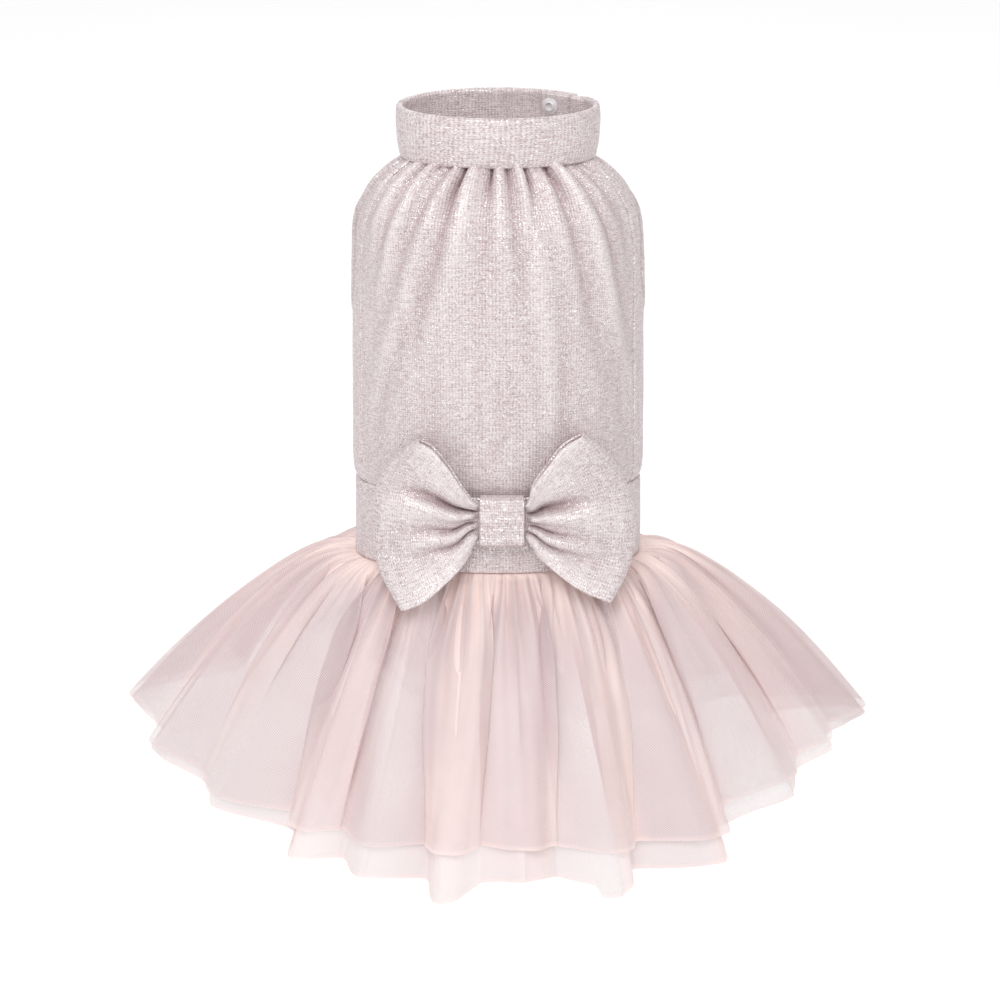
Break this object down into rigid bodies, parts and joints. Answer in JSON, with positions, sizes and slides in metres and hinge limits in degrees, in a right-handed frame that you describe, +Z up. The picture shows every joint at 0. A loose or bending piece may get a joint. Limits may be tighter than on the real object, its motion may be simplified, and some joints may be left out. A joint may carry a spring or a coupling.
{
  "type": "dog dress",
  "caption": "Sleeveless dog dress in pale pink glitter knit, with stand-up snap collar, gathered bodice, waistband, flat bow and layered gathered tulle skirt.",
  "frame": {"origin": "centre of the neck seam, where the collar joins the bodice", "axes": "+Z up through the collar, -Y out of the side with the bow, +X to the right of that side"},
  "size_m": [0.4143, 0.3241, 0.4075],
  "materials": {
    "knit": "fine glitter knit of pale pink yarn with a silvery metallic thread",
    "tulle": "soft fine pale pink net, matt and see-through",
    "snap": "milky clear moulded plastic"
  },
  "bodies": {
    "root": {"collar": "knit", "bodice_front": "knit", "bodice_back_left": "knit", "bodice_back_right": "knit", "waistband": "knit", "bow_loop_left": "knit", "bow_loop_right": "knit", "bow_knot": "knit", "skirt_outer": "tulle", "skirt_inner": "tulle", "snap_collar_cap": "snap", "snap_collar_ring": "snap", "snap_1_cap": "snap", "snap_1_ring": "snap", "snap_2_cap": "snap", "snap_2_ring": "snap", "snap_3_cap": "snap", "snap_3_ring": "snap", "snap_4_cap": "snap", "snap_4_ring": "snap"}
  },
  "joints": []
}
